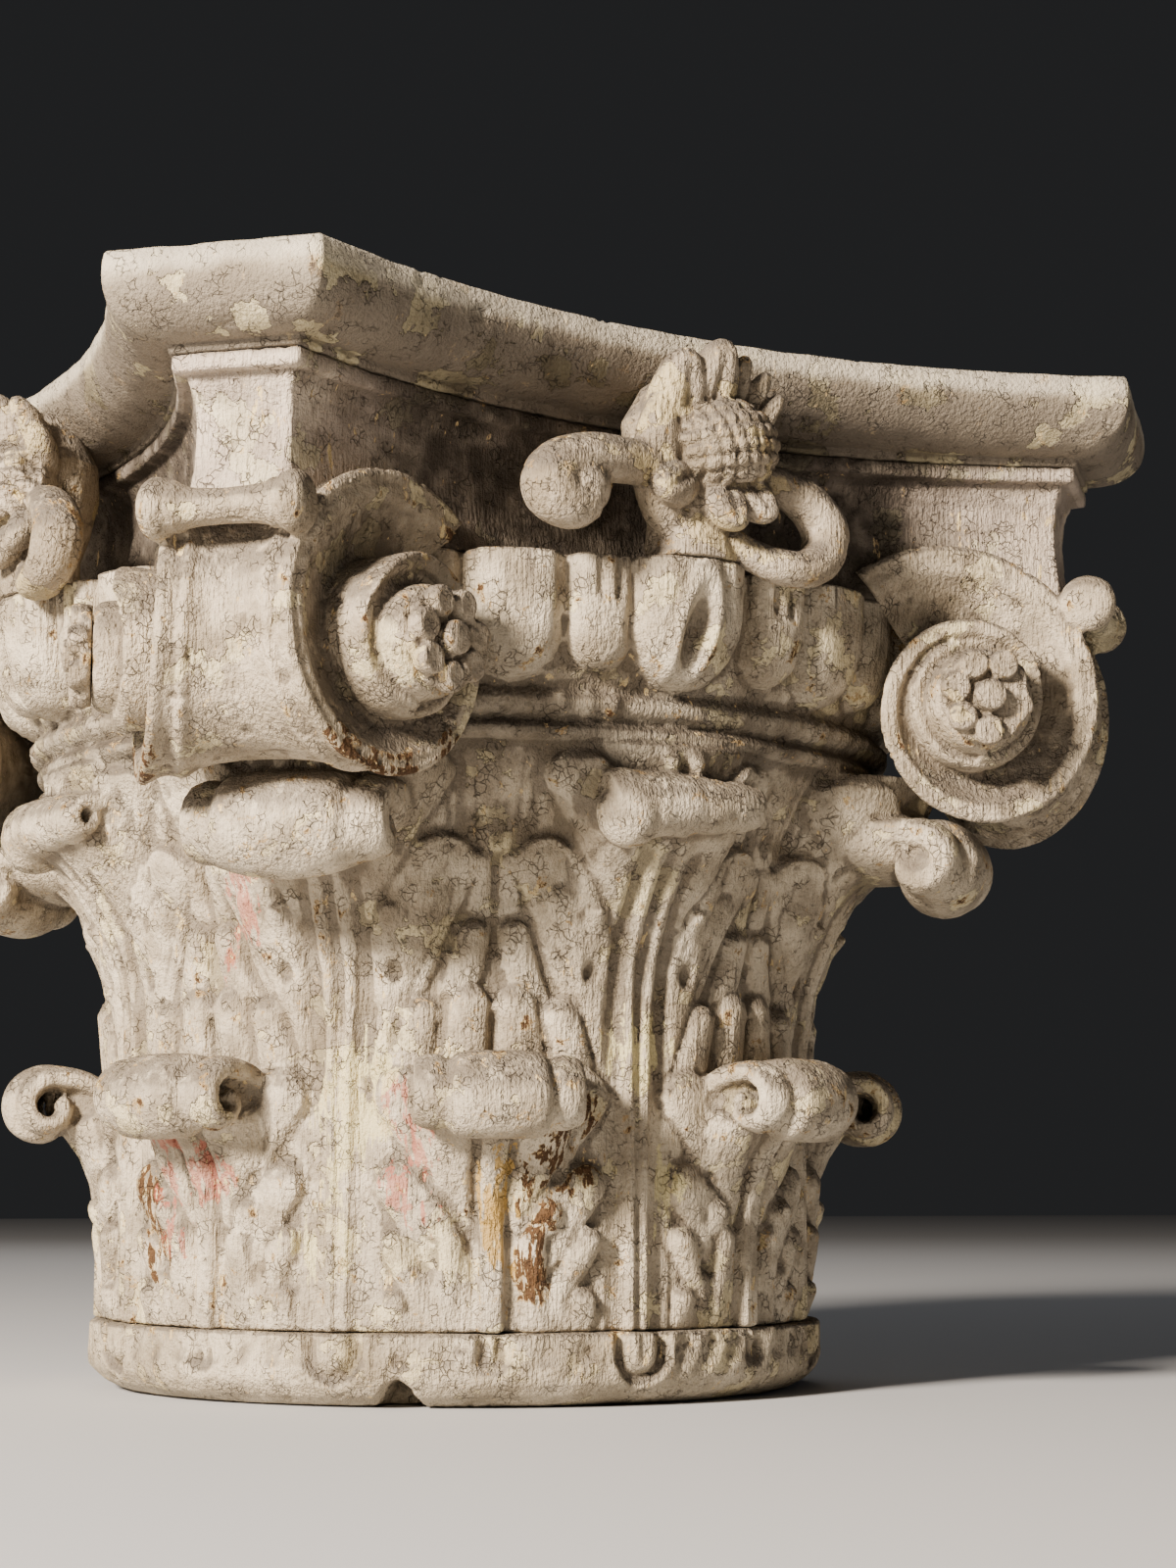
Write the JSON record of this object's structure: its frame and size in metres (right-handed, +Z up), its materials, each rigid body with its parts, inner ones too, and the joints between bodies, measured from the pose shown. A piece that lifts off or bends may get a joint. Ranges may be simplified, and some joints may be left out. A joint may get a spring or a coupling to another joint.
{
  "type": "corinthian capital",
  "caption": "Carved wooden column capital with two rows of acanthus leaves, an egg course, corner volutes, flower sprays and a moulded hollow-sided top board.",
  "frame": {"origin": "centre of the underside, on the column's axis", "axes": "+Z up along the column's axis; the front side faces -Y, the right side +X, the volutes stand on the diagonals"},
  "size_m": [0.4602, 0.4602, 0.396],
  "materials": {
    "board_paint": "many coats of old cream and yellowish paint on carved wood, crackled and flaking",
    "neck_paint": "old pinkish white paint on wood, finely cracked",
    "leaf_paint": "chalky white and cream paint with grey dirt in the hollows and bare brown wood where it has chipped off",
    "foot_paint": "dirty cream paint, worn at the edges",
    "scroll_paint": "old cream paint with raised crackle, ochre chips along the rims",
    "flower_paint": "thick yellowed paint, worn on the high spots"
  },
  "bodies": {
    "root": {"abacus_crown": "board_paint", "abacus_neck": "neck_paint", "bell": "leaf_paint", "base_course": "foot_paint", "volute_front_left": "scroll_paint", "volute_front_right": "scroll_paint", "volute_back_right": "scroll_paint", "volute_back_left": "scroll_paint", "rosette_front_left_on_front": "flower_paint", "rosette_front_left_on_left": "flower_paint", "rosette_front_right_on_front": "flower_paint", "rosette_front_right_on_right": "flower_paint", "rosette_back_right_on_back": "flower_paint", "rosette_back_right_on_right": "flower_paint", "rosette_back_left_on_back": "flower_paint", "rosette_back_left_on_left": "flower_paint", "fleuron_front": "flower_paint", "fleuron_right": "flower_paint", "fleuron_back": "flower_paint", "fleuron_left": "flower_paint"}
  },
  "joints": []
}
